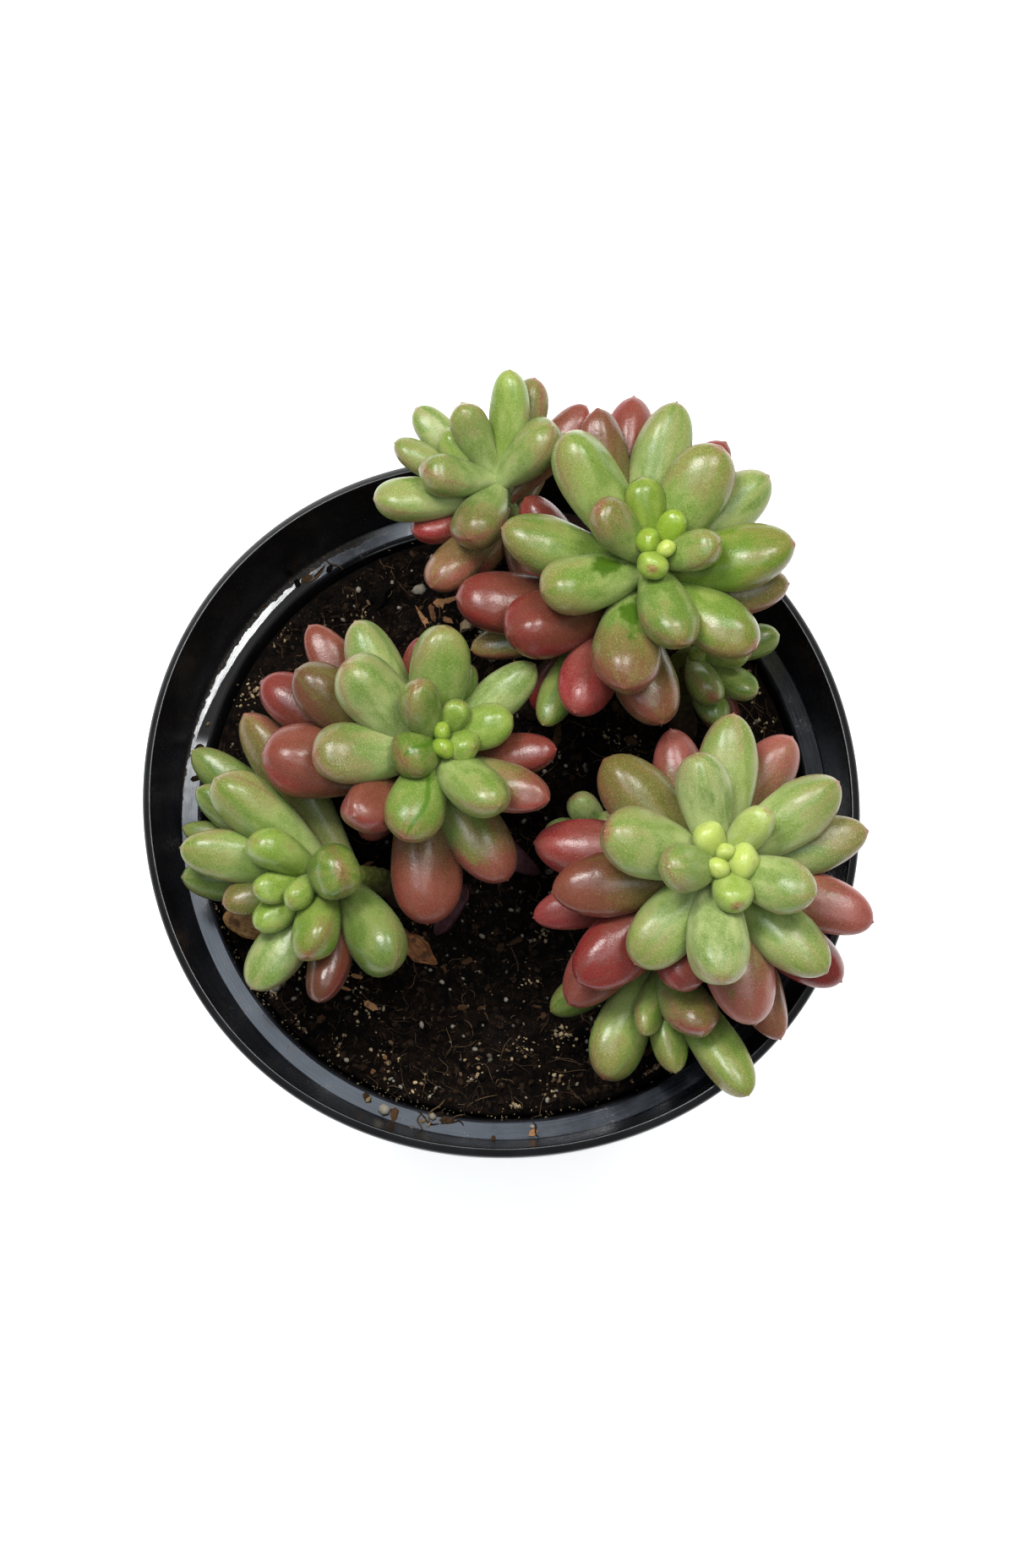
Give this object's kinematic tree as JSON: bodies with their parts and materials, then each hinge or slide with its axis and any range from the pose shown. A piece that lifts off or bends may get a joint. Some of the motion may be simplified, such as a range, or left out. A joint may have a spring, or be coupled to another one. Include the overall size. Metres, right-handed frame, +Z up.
{
  "type": "potted sedum",
  "caption": "Potted sedum: branching succulent with plump club-shaped leaves in loose rosettes, rooted in peat in a round black plastic nursery pot.",
  "frame": {"origin": "middle of the pot's flat underside, on the surface that the pot stands on", "axes": "+Z up; +X and +Y are the right and the top of the picture, which looks down on the pot"},
  "size_m": [0.108, 0.1134, 0.1245],
  "materials": {
    "pot_plastic": "thin black plastic, semi-gloss",
    "peat": "damp crumbly peat with pale grit",
    "leaf": "waxy fleshy leaf, green blushed red on the older ones",
    "bark": "rough bark",
    "dry_leaf": "dry papery leaf",
    "fallen_leaf": "shrivelled dark leaf"
  },
  "bodies": {
    "root": {"pot": "pot_plastic", "soil": "peat", "stem_upper_right": "leaf", "stem_right": "leaf", "stem_middle": "leaf", "stem_upper_left": "leaf", "stem_lower_left": "leaf", "stem_lower_right": "leaf", "stem_right_offset": "leaf", "stem_small_offset": "leaf", "bark_chip": "bark", "dry_leaf": "dry_leaf", "fallen_leaf_left": "fallen_leaf", "fallen_leaf_right": "fallen_leaf"}
  },
  "joints": []
}
